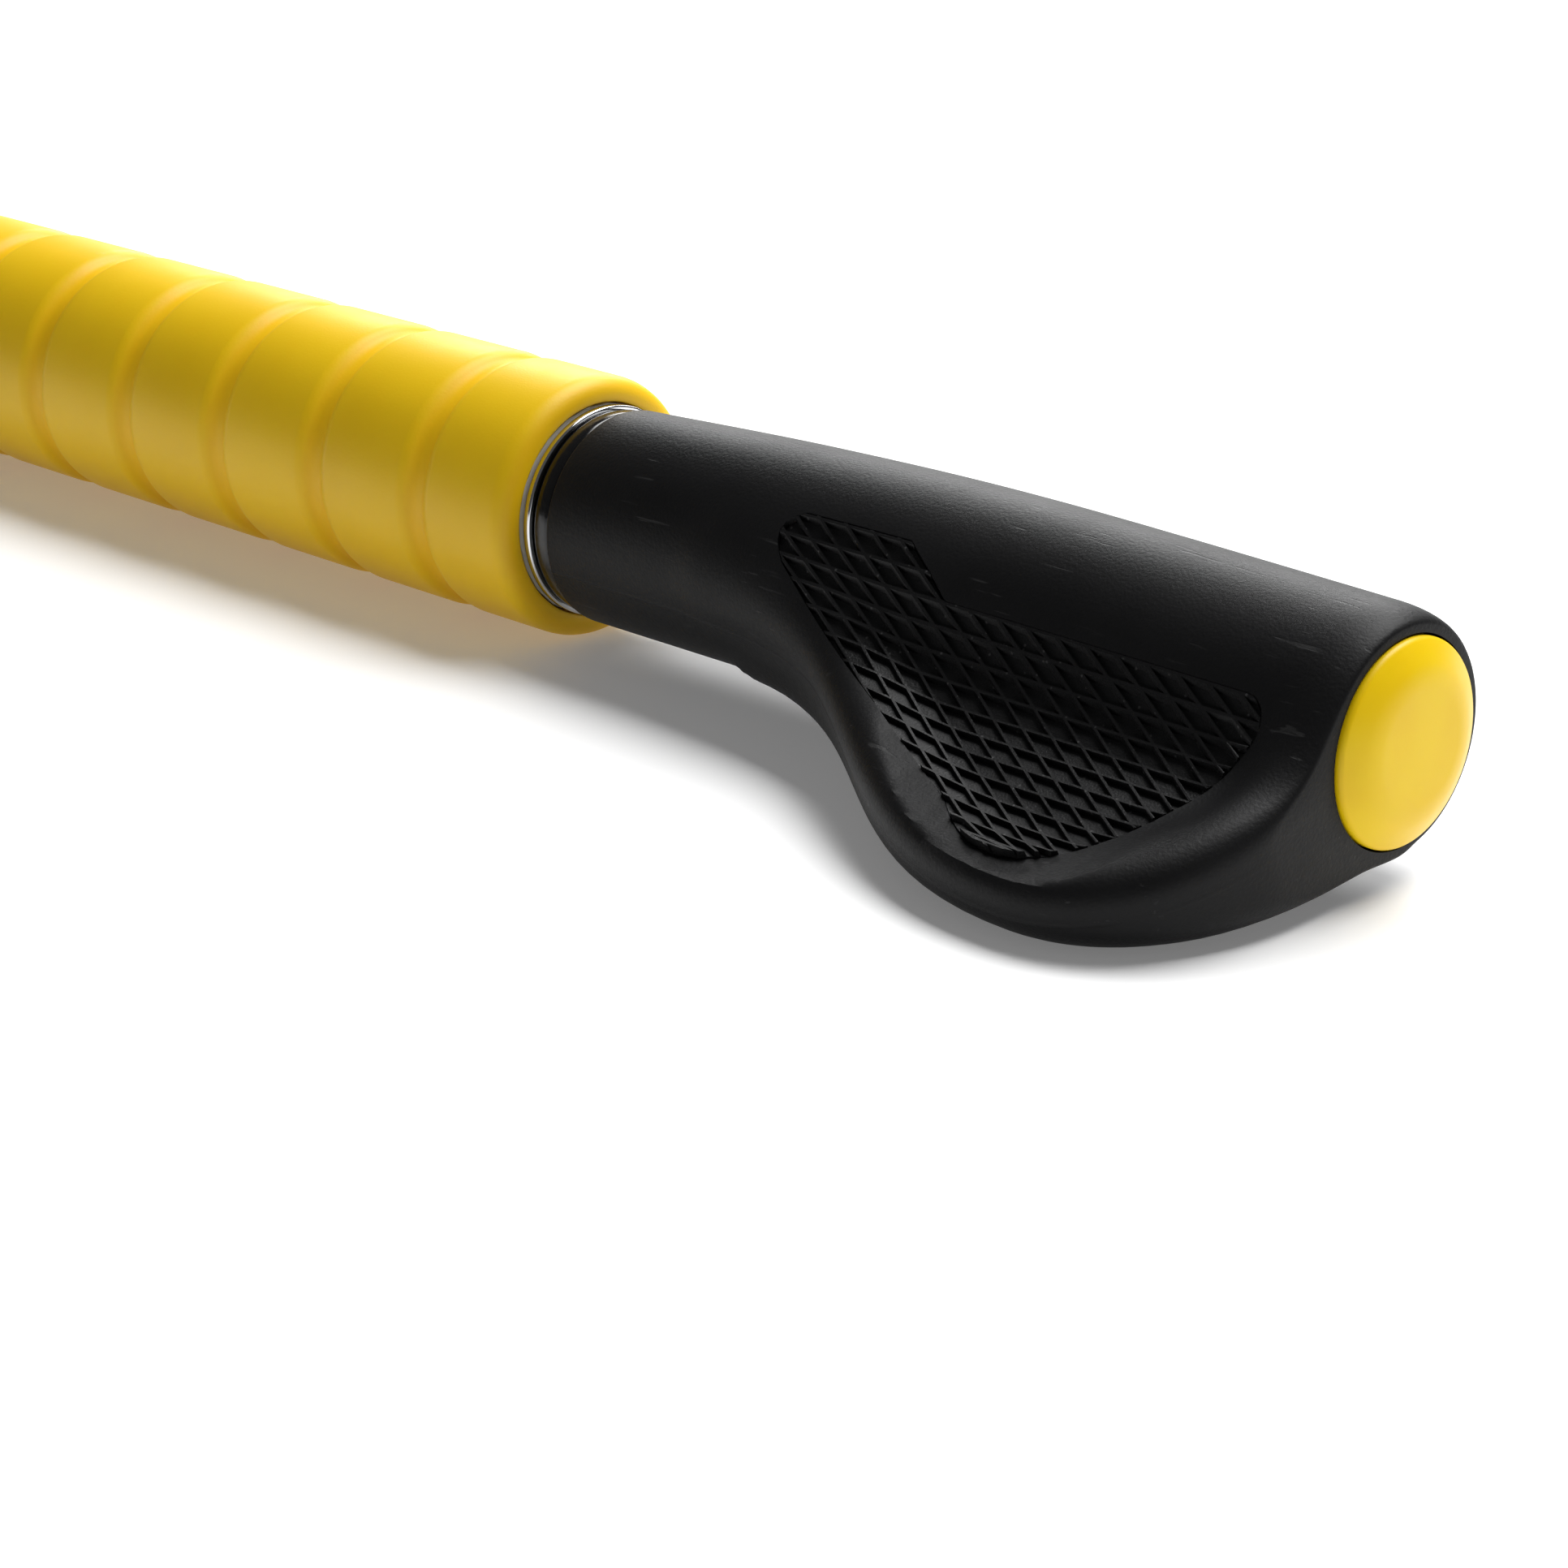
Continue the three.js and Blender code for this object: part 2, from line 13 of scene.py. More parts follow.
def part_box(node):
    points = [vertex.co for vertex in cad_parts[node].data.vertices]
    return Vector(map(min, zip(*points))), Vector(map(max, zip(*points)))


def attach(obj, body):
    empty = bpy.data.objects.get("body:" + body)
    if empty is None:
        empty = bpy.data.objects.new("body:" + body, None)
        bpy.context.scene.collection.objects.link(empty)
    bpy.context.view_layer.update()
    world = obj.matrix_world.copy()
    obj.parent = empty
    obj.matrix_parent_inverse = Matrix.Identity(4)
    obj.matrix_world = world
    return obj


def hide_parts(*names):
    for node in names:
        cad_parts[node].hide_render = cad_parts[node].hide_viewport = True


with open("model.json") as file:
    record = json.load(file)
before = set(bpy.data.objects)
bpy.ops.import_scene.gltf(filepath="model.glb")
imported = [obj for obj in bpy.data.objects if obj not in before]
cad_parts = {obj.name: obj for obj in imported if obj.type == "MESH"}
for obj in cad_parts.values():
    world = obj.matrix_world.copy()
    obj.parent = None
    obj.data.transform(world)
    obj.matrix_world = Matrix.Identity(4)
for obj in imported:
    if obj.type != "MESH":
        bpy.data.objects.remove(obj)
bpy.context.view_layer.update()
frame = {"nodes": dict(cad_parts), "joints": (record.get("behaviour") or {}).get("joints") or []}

MM = 0.001
SIDES = {"right": 1, "left": -1}
TURN_STEPS = 128  # round a turned piece
SHARP = math.radians(32)  # edges that turn more than this stay crisp

# Places taken from the frame: the bar's line, and how far each piece reaches along it.
LINE = Vector(next(j for j in frame["joints"] if j["name"] == "roller_spin")["pos_m"])
PIN = (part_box("grip_pin_right")[0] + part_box("grip_pin_right")[1]) / 2
TILT = math.atan2(LINE.y - PIN.y, PIN.z - LINE.z)  # the pin stands square to the wings


def span(node):
    """Where a node starts and ends along the bar, and its radius."""
    low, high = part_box(node)
    return low.x, high.x, (high.z - low.z) / 2


ROLLER_END, ROLLER_RADIUS = span("roller_sleeve")[1:]
WASHER_AT, WASHER_END, WASHER_RADIUS = span("thrust_washer_right")
COLLAR_AT, COLLAR_END, COLLAR_RADIUS = span("stop_collar_right")
GRIP_AT = COLLAR_AT
RUBBER_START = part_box("grip_body_right")[0].x - GRIP_AT
GRIP_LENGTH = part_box("grip_body_right")[1].x - GRIP_AT
PLUG_AT, PLUG_FACE, PLUG_RADIUS = span("end_plug_right")
TUBE_RADIUS = span("core_tube")[2]

# Roller
ROLLER_WALL = 3.4 * MM
RIB_COUNT = 14
RIB_PITCH = 22 * MM
GROOVE_WIDTH = 5.2 * MM
GROOVE_FLOOR = 2.4 * MM
GROOVE_DEPTH = 1.4 * MM
ROLLER_SHOULDER = 2.8 * MM
RIB_CORNER = 0.95 * MM
GROOVE_CORNER = 0.8 * MM
BORE_CORNER = 0.3 * MM

# Thrust washer and stop collar
GAP = 0.3 * MM
RUNNING_RADIUS = TUBE_RADIUS + GAP
WASHER_CORNER = 0.25 * MM
COLLAR_WEB = 1 * MM
COLLAR_POCKET = 13.1 * MM
COLLAR_CORNER = 0.6 * MM

# End plug
PLUG_SEAT = 1.8 * MM  # how deep the cap sits in the grip's end
PLUG_RIM = 0.6 * MM  # how far the cap's side stands out of the grip
PLUG_FACE_RADIUS = 8.6 * MM
PLUG_FACE_ROUND = 1.6 * MM
PLUG_RIM_ROUND = 0.5 * MM
PLUG_BARB_RADIUS = 9.3 * MM
PLUG_BARB_HEIGHT = 0.9 * MM
PLUG_BARB_PITCH = 5 * MM
PLUG_BARB_COUNT = 3

# Grip: lengths run outwards from the roller side of the stop collar
GRIP_START_CORNER = 0.6 * MM
RUBBER_BORE = 13 * MM
BARREL_START_RADIUS = 14.85 * MM
BARREL_WIDEST_RADIUS = 15.95 * MM
BARREL_END_RADIUS = 15.3 * MM
BARREL_WIDEST_AT = 76 * MM
BARREL_NEAR = 14.95 * MM  # from the axis to the barrel's side under the wing
BARREL_SWELL_ANGLE = math.radians(44)  # the barrel swells away from the wing and up
GRIP_SHOULDER = 6 * MM  # length of the rounding at the grip's end
SHOULDER_DROP = 1.55 * MM
WING_REACH = 47 * MM
WING_TIP_INSET = 22.5 * MM  # from the grip's end back to the tip
WING_TIP_AT = GRIP_LENGTH - WING_TIP_INSET
WING_FLARE = 77 * MM
WING_ROOT_HALF = 7.2 * MM
WING_TIP_HALF = 4.8 * MM
WING_EDGE_CORNER = 4 * MM
WING_UNDER_ANGLE = math.radians(13.7)  # of the flat underside to the wing's plane
WING_BLEND = 9 * MM  # size of the fillet between barrel and wing on the palm side
WING_UNDER_BLEND = 2 * MM
WING_DISH = 2.2 * MM
DISH_RIM = 4 * MM
DISH_RUN = 9 * MM
LIP_WIDTH = 2.5 * MM  # of the raised lip between the dish and the grip's end
LIP_RUN = 6.5 * MM
PARTING_HEIGHT = 0.1 * MM
SKIN_DEPTH = 0.12 * MM  # of the finished skin inside the drawn one, room for the parting line
SAMPLE_STEP = 0.25 * MM  # between the places where the skin is looked for
SAMPLE_ANGLES = 420  # from the wing's edge round to the back
PALM_TOP = 22 * MM  # higher than any part of the palm face
GRIP_STATIONS = 120
END_STATIONS = 8  # in the rounding at either end
BORE_STATIONS = 6
HALF_RING = 96  # points from the wing's edge round to the back

# Textured pad
PAD_LENGTH = 79.2 * MM
PAD_NARROW_LENGTH = 20.8 * MM
PAD_STEP_RUN = 9 * MM
PAD_NARROW_EDGE = 6.5 * MM
PAD_LONG_EDGE = 11.5 * MM
PAD_TIP_MARGIN = 5.4 * MM
PAD_END_MARGIN = 9 * MM
PAD_CORNER = 3 * MM
PAD_SURROUND = 2 * MM  # how far the cutting blocks reach past the pad
PAD_RECESS = 0.1 * MM
PAD_THICKNESS = 1.45 * MM
PAD_LIFT = 0.45 * MM
PAD_FIT = 0.2 * MM  # how far the pad fills the pocket's clearance
CELL_LENGTH = 4.6 * MM
CELL_SHIFT = 4.9 * MM
CELL_WIDTH = 3 * MM
RIDGE_HALF = 0.16 * MM  # half the width of a ridge's flat top
RIDGE_FLANK = 0.1 * MM
RIDGE_HEIGHT = 0.75 * MM
FLOOR_BASE = -12 * MM  # bottoms of the blocks used for cutting, from the wing's middle plane
LATTICE_BASE = -8 * MM

# Camera and lights
CAMERA_FROM_BAR = Vector((0.54268, -0.36151, 0.15679))
CAMERA_YAW = math.radians(134.644)
CAMERA_PITCH = math.radians(-20.276)
CAMERA_LENS = 93.17
ROOM_LIGHT = 0.08
TABLE_GLOW = 0.16  # keeps the table pale where the softboxes do not reach
OVERHEAD_POWER = 19
BEHIND_POWER = 5

# ---------------------------------------------------------------- shader nodes


class Wire:
    """An output socket. Arithmetic on it adds Math nodes."""

    def __init__(self, finish, socket):
        self.finish = finish
        self.socket = socket

    def math(self, operation, *others):
        return self.finish.node("Math", {"operation": operation}, [self, *others])

    def __add__(self, other):
        return self.math("ADD", other)

    __radd__ = __add__

    def __sub__(self, other):
        return self.math("SUBTRACT", other)

    def __rsub__(self, other):
        return self.finish.node("Math", {"operation": "SUBTRACT"}, [other, self])

    def __mul__(self, other):
        return self.math("MULTIPLY", other)

    __rmul__ = __mul__

    def ramp(self, low, high):
        """0 below low, 1 above high, smooth between."""
        settings = {"interpolation_type": "SMOOTHSTEP"}
        return self.finish.node("MapRange", settings, {"Value": self, "From Min": low, "From Max": high})


class Finish:
    """A Principled material. Keyword values are set on the shader's own sockets."""

    def __init__(self, name, **uniform):
        self.material = bpy.data.materials.new(name)
        self.material.use_nodes = True
        self.tree = self.material.node_tree
        self.shader = self.tree.nodes["Principled BSDF"]
        for socket, value in uniform.items():
            self.shader.inputs[socket.replace("_", " ")].default_value = value
        self.place = self.node("TexCoord", output="Object")

    def node(self, kind, settings=None, values=(), output=0):
        """Adds one node, gives it its settings, then the values or links of its sockets."""
        made = self.tree.nodes.new("ShaderNode" + kind)
        for key, value in (settings or {}).items():
            setattr(made, key, value)
        pairs = values.items() if isinstance(values, dict) else enumerate(values)
        for key, value in pairs:
            self.feed(made.inputs[key], value)
        return Wire(self, made.outputs[output])

    def feed(self, socket, value):
        if isinstance(value, Wire):
            self.tree.links.new(value.socket, socket)
        else:
            socket.default_value = value

    def set(self, socket, value):
        self.feed(self.shader.inputs[socket], value)

    def stretched(self, scale=(1, 1, 1), turn=(0, 0, 0), centre=(0, 0, 0)):
        """Object coordinates, stretched or turned about a point."""
        moved = self.node("VectorMath", {"operation": "SUBTRACT"}, [self.place, centre])
        return self.node("Mapping", {}, {"Vector": moved, "Rotation": turn, "Scale": scale})

    def noise(self, size, detail, where=None):
        """Noise from 0 to 1 with features of about this size."""
        values = {"Vector": where or self.place, "Scale": 1 / size, "Detail": detail}
        return self.node("TexNoise", {}, values)

    def cells(self, size):
        """Distance to the nearest of many scattered points, about this far apart."""
        return self.node("TexVoronoi", {}, {"Vector": self.place, "Scale": 1 / size})

    def mix(self, factor, first, second):
        """A colour between two others."""
        made = self.tree.nodes.new("ShaderNodeMix")
        made.data_type = "RGBA"
        for socket, value in ((0, factor), (6, first), (7, second)):
            self.feed(made.inputs[socket], value)
        return Wire(self, made.outputs[2])

    def bump(self, height, distance, under=None):
        """A Bump node whose height runs from 0 to 1 over a distance in metres."""
        values = {"Height": height, "Distance": distance}
        if under is not None:
            values["Normal"] = under
        return self.node("Bump", {}, values, output="Normal")


def shade(red, green, blue):
    """A colour given as 0 to 255 display values."""
    return (*(((v / 255 + 0.055) / 1.055) ** 2.4 if v > 10 else v / 3295 for v in (red, green, blue)), 1)


# ---------------------------------------------------------------- finishes


def radius_from_bar(finish):
    """Distance from the bar's line."""
    across = finish.node("VectorMath", {"operation": "SUBTRACT"}, [finish.place, tuple(LINE)])
    flat = finish.node("VectorMath", {"operation": "MULTIPLY"}, [across, (0, 1, 1)])
    return finish.node("VectorMath", {"operation": "LENGTH"}, [flat], output="Value")


def soft_yellow_rubber():
    f = Finish("soft_yellow_rubber", IOR=1.47, Specular_IOR_Level=0.35, Subsurface_Weight=0.12)
    f.shader.inputs["Subsurface Radius"].default_value = (0.004, 0.002, 0.0004)
    f.shader.inputs["Subsurface Scale"].default_value = 0.6
    clouds = f.noise(0.03, 3)
    # Painted shade: deep in the grooves the colour is mixed towards a darker ochre, standing in for the
    # shade that gathers there.
    painted_groove_shade = 1 - radius_from_bar(f).ramp(ROLLER_RADIUS - GROOVE_DEPTH, ROLLER_RADIUS - 0.3 * MM)
    body = f.mix(clouds.ramp(0.3, 0.7), shade(234, 190, 6), shade(240, 197, 12))
    f.set("Base Color", f.mix(painted_groove_shade * 0.35, body, shade(240, 180, 4)))
    f.set("Roughness", 0.38 + 0.1 * f.noise(0.004, 4) + 0.06 * clouds)
    grain = f.noise(0.00035, 2)
    swell = f.noise(0.006, 2)
    f.set("Normal", f.bump(grain, 0.02 * MM, under=f.bump(swell, 0.03 * MM)))
    return f.material


def yellow_plastic():
    f = Finish("yellow_plastic", IOR=1.5, Specular_IOR_Level=0.3, Subsurface_Weight=0.08)
    f.shader.inputs["Subsurface Radius"].default_value = (0.003, 0.0015, 0.0003)
    clouds = f.noise(0.012, 3)
    f.set("Base Color", f.mix(clouds.ramp(0.3, 0.7), shade(248, 205, 2), shade(252, 212, 6)))
    f.set("Roughness", 0.33 + 0.12 * f.noise(0.002, 4))
    f.set("Normal", f.bump(f.noise(0.0004, 2), 0.012 * MM))
    return f.material


def scratches(f, size, turn):
    """Thin, rare lines in one direction, 0 to 1."""
    where = f.stretched(scale=(0.06, 1, 1), turn=turn)
    lines = f.noise(size, 3, where=where)
    gate = f.noise(0.012, 2)
    return lines.ramp(0.66, 0.72) * gate.ramp(0.5, 0.62)


def black_grip_rubber():
    f = Finish("black_grip_rubber", IOR=1.5, Specular_IOR_Level=0.18)
    haze = f.noise(0.018, 4)
    grain = f.noise(0.00045, 3)
    marks = scratches(f, 0.0011, (0, 0, 0.5)) + scratches(f, 0.0009, (0.3, 0, -0.8))
    base = f.mix(haze.ramp(0.25, 0.75), shade(12, 12, 13), shade(17, 17, 18))
    base = f.mix(marks * 0.3, base, shade(70, 70, 70))
    f.set("Base Color", base)
    f.set("Roughness", 0.42 + 0.1 * haze + 0.1 * grain)
    coarse = f.bump(f.noise(0.0022, 3), 0.03 * MM)
    f.set("Normal", f.bump(grain - 0.5 * marks, 0.05 * MM, under=coarse))
    return f.material


def black_pad_rubber():
    f = Finish("black_pad_rubber", IOR=1.5, Specular_IOR_Level=0.25)
    specks = 1 - f.cells(0.0016).ramp(0.06, 0.16)
    haze = f.noise(0.008, 3)
    base = f.mix(haze, shade(11, 11, 12), shade(19, 19, 20))
    f.set("Base Color", f.mix(specks * 0.25, base, shade(120, 120, 120)))
    f.set("Roughness", 0.36 + 0.2 * haze)
    f.set("Normal", f.bump(f.noise(0.00028, 3), 0.06 * MM))
    return f.material


def gloss_black_plastic():
    f = Finish("gloss_black_plastic", IOR=1.5)
    f.set("Base Color", f.mix(f.noise(0.01, 2), shade(9, 9, 10), shade(15, 15, 16)))
    f.set("Roughness", 0.14 + 0.12 * f.noise(0.0015, 4).ramp(0.45, 0.75))
    f.set("Normal", f.bump(f.noise(0.0006, 2), 0.006 * MM))
    return f.material


def hard_black_plastic():
    f = Finish("hard_black_plastic", IOR=1.5)
    f.set("Base Color", f.mix(f.noise(0.008, 3), shade(30, 30, 33), shade(42, 42, 45)))
    f.set("Roughness", 0.42 + 0.15 * f.noise(0.003, 3))
    f.set("Normal", f.bump(f.cells(0.0007), 0.02 * MM))
    return f.material


def inner_plastic():
    f = Finish("inner_plastic", IOR=1.48)
    f.set("Base Color", f.mix(f.noise(0.01, 3), shade(205, 200, 188), shade(222, 218, 208)))
    f.set("Roughness", 0.4 + 0.15 * f.noise(0.004, 3))
    f.set("Normal", f.bump(f.noise(0.0009, 2), 0.015 * MM))
    return f.material


def chromed_steel():
    f = Finish("chromed_steel", Metallic=1.0)
    turned_lines = f.noise(0.0004, 2, where=f.stretched(scale=(1, 0.03, 0.03), centre=tuple(LINE)))
    f.set("Base Color", f.mix(f.noise(0.02, 2), shade(208, 210, 213), shade(226, 227, 229)))
    f.set("Roughness", 0.07 + 0.09 * turned_lines)
    f.set("Normal", f.bump(turned_lines, 0.004 * MM))
    return f.material


def spring_steel():
    f = Finish("spring_steel", Metallic=1.0)
    f.set("Base Color", f.mix(f.noise(0.004, 3), shade(120, 122, 126), shade(156, 158, 160)))
    f.set("Roughness", 0.28 + 0.2 * f.noise(0.0012, 3))
    f.set("Normal", f.bump(f.noise(0.0003, 2), 0.01 * MM))
    return f.material


FINISHES = {
    "yellow_soft_rubber": soft_yellow_rubber(),
    "yellow_plastic": yellow_plastic(),
    "black_rubber": black_grip_rubber(),
    "pad_rubber": black_pad_rubber(),
    "gloss_black_plastic": gloss_black_plastic(),
    "hard_black_plastic": hard_black_plastic(),
    "inner_plastic": inner_plastic(),
    "chromed_steel": chromed_steel(),
    "spring_steel": spring_steel(),
}

# ---------------------------------------------------------------- mesh helpers


def to_object(name, bm):
    """An object from a bmesh, shaded smooth except across sharp edges."""
    bm.normal_update()
    for face in bm.faces:
        face.smooth = True
    for edge in bm.edges:
        edge.smooth = edge.calc_face_angle(0) < SHARP
    mesh = bpy.data.meshes.new(name)
    bm.to_mesh(mesh)
    bm.free()
    made = bpy.data.objects.new(name, mesh)
    bpy.context.scene.collection.objects.link(made)
    return made


def place(bm, along=0, tilt=0, side=1):
    """Moves a shape drawn about the X axis to its place on the bar, mirrored for the left end."""
    matrix = (
        Matrix.Diagonal((side, 1, 1, 1))
        @ Matrix.Translation((along, LINE.y, LINE.z))
        @ Matrix.Rotation(tilt, 4, "X")
    )
    bmesh.ops.transform(bm, matrix=matrix, verts=bm.verts)
    bmesh.ops.recalc_face_normals(bm, faces=bm.faces)


def fit(made, body, slot, node):
    """Gives a finished piece its material and body, in place of a node of the frame."""
    made.data.materials.append(FINISHES[slot])
    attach(made, body)
    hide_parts(node)


def spun(outline):
    """A closed outline of (along, radius) points spun about the X axis."""
    bm = bmesh.new()
    points = [bm.verts.new((x, 0, r)) for x, r in outline]
    edges = [bm.edges.new(pair) for pair in zip(points, points[1:] + points[:1])]
    bmesh.ops.spin(
        bm,
        geom=points + edges,
        cent=(0, 0, 0),
        axis=(1, 0, 0),
        angle=math.tau,
        steps=TURN_STEPS,
        use_merge=True,
    )
    bmesh.ops.remove_doubles(bm, verts=bm.verts, dist=1e-7)
    bmesh.ops.recalc_face_normals(bm, faces=bm.faces)
    return bm


def round_rings(bm, size, segments, test):
    """Rounds the circular edges whose place along the bar and radius pass a test."""
    edges = []
    for edge in bm.edges:
        a, b = edge.verts
        middle = (a.co + b.co) / 2
        if abs(a.co.x - b.co.x) < 1e-8 and abs(a.co.yz.length - b.co.yz.length) < 1e-7:
            if middle.yz.length > 1e-6 and test(a.co.x, a.co.yz.length):
                edges.append(edge)
    bmesh.ops.bevel(
        bm,
        geom=edges,
        offset=size,
        offset_type="OFFSET",
        segments=segments,
        profile=0.5,
        affect="EDGES",
        material=-1,
    )


def near(value):
    return lambda other: abs(other - value) < 1e-6


# ---------------------------------------------------------------- roller and turned trim


def roller_sleeve():
    bore = ROLLER_RADIUS - ROLLER_WALL
    floor = ROLLER_RADIUS - GROOVE_DEPTH
    outline = [(-ROLLER_END, bore), (-ROLLER_END, ROLLER_RADIUS)]
    for i in range(RIB_COUNT - 1):
        middle = (i - (RIB_COUNT - 2) / 2) * RIB_PITCH
        outline.append((middle - GROOVE_WIDTH / 2, ROLLER_RADIUS))
        outline.append((middle - GROOVE_FLOOR / 2, floor))
        outline.append((middle + GROOVE_FLOOR / 2, floor))
        outline.append((middle + GROOVE_WIDTH / 2, ROLLER_RADIUS))
    outline += [(ROLLER_END, ROLLER_RADIUS), (ROLLER_END, bore)]
    bm = spun(outline)
    at_end = near(ROLLER_END)
    round_rings(bm, RIB_CORNER, 4, lambda x, r: near(ROLLER_RADIUS)(r) and not at_end(abs(x)))
    round_rings(bm, GROOVE_CORNER, 4, lambda x, r: near(floor)(r))
    round_rings(bm, ROLLER_SHOULDER, 8, lambda x, r: at_end(abs(x)) and near(ROLLER_RADIUS)(r))
    round_rings(bm, BORE_CORNER, 2, lambda x, r: at_end(abs(x)) and near(bore)(r))
    place(bm)
    fit(to_object("soft_ribbed_sleeve", bm), "roller", "yellow_soft_rubber", "roller_sleeve")


def washer(side):
    bm = spun([
        (WASHER_AT, RUNNING_RADIUS),
        (WASHER_AT, WASHER_RADIUS),
        (WASHER_END, WASHER_RADIUS),
        (WASHER_END, RUNNING_RADIUS),
    ])
    round_rings(bm, WASHER_CORNER, 3, lambda x, r: near(WASHER_RADIUS)(r))
    place(bm, side=SIDES[side])
    fit(to_object(f"chromed_washer_{side}", bm), "root", "chromed_steel", f"thrust_washer_{side}")


def collar(side):
    web = COLLAR_END - COLLAR_WEB
    bm = spun([
        (COLLAR_AT, COLLAR_POCKET),
        (COLLAR_AT, COLLAR_RADIUS),
        (COLLAR_END, COLLAR_RADIUS),
        (COLLAR_END, RUNNING_RADIUS),
        (web, RUNNING_RADIUS),
        (web, COLLAR_POCKET),
    ])
    round_rings(bm, COLLAR_CORNER, 5, lambda x, r: near(COLLAR_RADIUS)(r))
    place(bm, side=SIDES[side])
    fit(to_object(f"gloss_stop_collar_{side}", bm), "root", "gloss_black_plastic", f"stop_collar_{side}")


def end_plug(side):
    back = GRIP_AT + GRIP_LENGTH - PLUG_SEAT
    rim = GRIP_AT + GRIP_LENGTH + PLUG_RIM
    stem_radius = PLUG_BARB_RADIUS - PLUG_BARB_HEIGHT
    outline = [
        (PLUG_FACE, 0),
        (PLUG_FACE, PLUG_FACE_RADIUS),
        (rim, PLUG_RADIUS),
        (back, PLUG_RADIUS),
        (back, stem_radius),
    ]
    for i in range(PLUG_BARB_COUNT):
        at = back - (i + 1) * PLUG_BARB_PITCH
        outline += [(at, stem_radius), (at, PLUG_BARB_RADIUS), (at - PLUG_BARB_PITCH / 2, stem_radius)]
    outline += [(PLUG_AT, stem_radius), (PLUG_AT, 0)]
    bm = spun(outline)
    on_face = near(PLUG_FACE)
    round_rings(bm, PLUG_FACE_ROUND, 6, lambda x, r: on_face(x) and near(PLUG_FACE_RADIUS)(r))
    round_rings(bm, PLUG_RIM_ROUND, 4, lambda x, r: near(rim)(x) and near(PLUG_RADIUS)(r))
    place(bm, side=SIDES[side])
    fit(to_object(f"end_cap_{side}", bm), "root", "yellow_plastic", f"end_plug_{side}")


# ---------------------------------------------------------------- grip


def curve_points(anchors, handles_in, handles_out, steps):
    """Points of one smooth curve through the anchors."""
    points = []
    for i in range(len(anchors) - 1):
        stretch = interpolate_bezier(anchors[i], handles_out[i], handles_in[i], anchors[i + 1], steps)
        points += stretch if i == 0 else stretch[1:]
    return points


def barrel_profile():
    """Radius along the grip: a smooth curve through four chosen sections."""
    knots = [
        Vector((RUBBER_START, BARREL_START_RADIUS)),
        Vector((BARREL_WIDEST_AT / 2, (BARREL_START_RADIUS + 3 * BARREL_WIDEST_RADIUS) / 4)),
        Vector((BARREL_WIDEST_AT, BARREL_WIDEST_RADIUS)),
        Vector((GRIP_LENGTH, BARREL_END_RADIUS)),
    ]
    ends = [knots[0], *knots, knots[-1]]
    slopes = [(after - before) / 6 for before, after in zip(ends, ends[2:])]
    starts = [k + s for k, s in zip(knots, slopes)]
    stops = [k - s for k, s in zip(knots[1:], slopes[1:])]
    return np.array(curve_points(knots, stops, starts, 16))


BARREL = barrel_profile()


def wing_outline():
    """The wing seen from above: it leaves the barrel, flares to its tip and rounds into the end."""
    root = WING_TIP_AT - WING_FLARE
    beyond = GRIP_LENGTH + 5 * MM
    flare = [
        Vector((root, 0.25 * WING_REACH)),
        Vector((root + 0.44 * WING_FLARE, 0.37 * WING_REACH)),
        Vector((root + 0.6 * WING_FLARE, WING_REACH)),
        Vector((WING_TIP_AT, WING_REACH)),
    ]
    close = [
        Vector((WING_TIP_AT + 0.68 * WING_TIP_INSET, WING_REACH)),
        Vector((GRIP_LENGTH + 1.3 * MM, 0.72 * WING_REACH)),
        Vector((beyond, 0.18 * WING_REACH)),
    ]
    points = interpolate_bezier(*flare, 24) + interpolate_bezier(flare[-1], *close, 24)[1:]
    return np.array([*points, (beyond, 0), (root, 0)])


WING = wing_outline()


def outside(outline, along, out):
    """Distance to a closed outline, negative inside it."""
    x, y = along[..., None], out[..., None]
    ax, ay = outline.T
    bx, by = np.roll(outline, -1, 0).T
    ex, ey = bx - ax, by - ay
    t = np.clip(((x - ax) * ex + (y - ay) * ey) / (ex * ex + ey * ey), 0, 1)
    nearest = np.hypot(x - ax - t * ex, y - ay - t * ey).min(-1)
    with np.errstate(divide="ignore", invalid="ignore"):
        crossed = ((ay > y) != (by > y)) & (x < ax + ex * (y - ay) / ey)
    return np.where(crossed.sum(-1) % 2 == 1, -nearest, nearest)


def smooth_step(t):
    s = np.clip(t, 0, 1)
    return s * s * (3 - 2 * s)


def grip_distance(along, out, up, edge):
    """How far outside the grip's skin a point is. edge is its distance outside the wing's outline."""
    radius = np.interp(along, *BARREL.T)
    swell = radius - BARREL_NEAR
    barrel_out = out + swell * math.cos(BARREL_SWELL_ANGLE)
    barrel_up = up - swell * math.sin(BARREL_SWELL_ANGLE)
    barrel = np.hypot(barrel_out, barrel_up) - radius
    past_lip = smooth_step((GRIP_LENGTH - along - LIP_WIDTH) / LIP_RUN)
    dish = WING_DISH * smooth_step((-edge - DISH_RIM) / DISH_RUN) * past_lip
    taper = np.clip(out / WING_REACH, 0, 1)
    palm = up - WING_ROOT_HALF - (WING_TIP_HALF - WING_ROOT_HALF) * taper + dish
    under = out * math.sin(WING_UNDER_ANGLE) - up * math.cos(WING_UNDER_ANGLE) - BARREL_NEAR
    a, b = edge + WING_EDGE_CORNER, np.maximum(palm, under) + WING_EDGE_CORNER
    rounded = np.hypot(np.maximum(a, 0), np.maximum(b, 0))
    wing = np.minimum(np.maximum(a, b), 0) + rounded - WING_EDGE_CORNER
    palm_side = smooth_step(up / WING_BLEND + 0.6)
    blend = WING_UNDER_BLEND + (WING_BLEND - WING_UNDER_BLEND) * palm_side
    h = np.maximum(blend - np.abs(barrel - wing), 0) / blend
    return np.minimum(barrel, wing) - h * h * blend / 4


